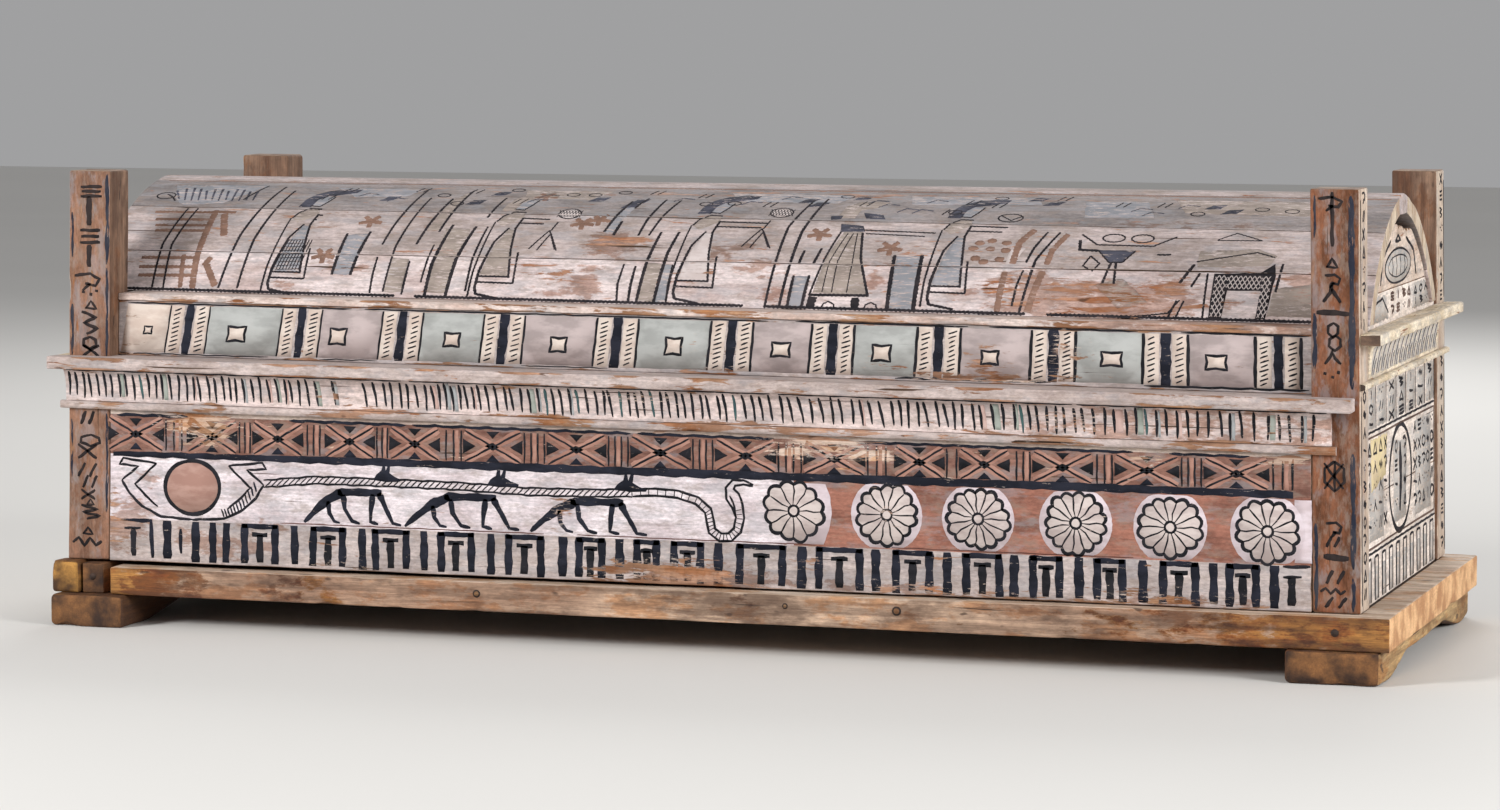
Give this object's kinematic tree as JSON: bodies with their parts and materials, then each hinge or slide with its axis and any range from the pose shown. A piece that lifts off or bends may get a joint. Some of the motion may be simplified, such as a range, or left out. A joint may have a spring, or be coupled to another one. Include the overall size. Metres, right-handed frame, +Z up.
{
  "type": "painted wooden coffin with a vaulted roof",
  "caption": "Long painted wooden coffin: a hollow case with corner posts, a moulded cornice and a vaulted plank roof, resting on a flat plank base with cross runners.",
  "frame": {"origin": "centre of the underside, on the ground between the two runners", "axes": "+X along the length towards the end with the broken gable, -Y the main painted side, +Z up"},
  "size_m": [1.958, 0.748, 0.6578],
  "materials": {
    "painted_panel": "thin painted gesso over planks, worn and dry, matt",
    "painted_post": "thin red earth wash over wood, worn, matt",
    "bare_wood": "bare old softwood, dry and dusty",
    "runner_wood": "bare dark old wood, rubbed"
  },
  "bodies": {
    "root": {"back_cavetto": "painted_panel", "back_eaves_strip": "painted_panel", "back_ledge": "painted_panel", "back_panel_board": "painted_panel", "back_torus": "painted_panel", "back_wall": "painted_panel", "base_end_batten": "bare_wood", "base_inner_batten": "runner_wood", "base_plank_back": "bare_wood", "base_plank_back_middle": "bare_wood", "base_plank_front": "bare_wood", "base_plank_front_middle": "bare_wood", "base_runner_left": "runner_wood", "base_runner_right": "runner_wood", "front_cavetto": "painted_panel", "front_eaves_strip": "painted_panel", "front_ledge": "painted_panel", "front_panel_board": "painted_panel", "front_torus": "painted_panel", "front_wall": "painted_panel", "left_end_board_low": "painted_panel", "left_end_board_middle": "painted_panel", "left_end_board_top": "painted_panel", "left_end_cavetto": "painted_panel", "left_end_gable_board": "painted_panel", "left_end_ledge": "painted_panel", "left_end_torus": "painted_panel", "post_back_left": "painted_post", "post_back_right": "painted_post", "post_front_left": "painted_post", "post_front_right": "painted_post", "right_end_board_low": "painted_panel", "right_end_board_middle": "painted_panel", "right_end_board_top": "painted_panel", "right_end_cavetto": "painted_panel", "right_end_gable_board": "painted_panel", "right_end_ledge": "painted_panel", "right_end_torus": "painted_panel", "vault_back_lower": "painted_panel", "vault_back_middle": "painted_panel", "vault_back_upper": "painted_panel", "vault_front_lower": "painted_panel", "vault_front_middle": "painted_panel", "vault_front_upper": "painted_panel", "vault_ridge_board": "painted_panel"}
  },
  "joints": []
}
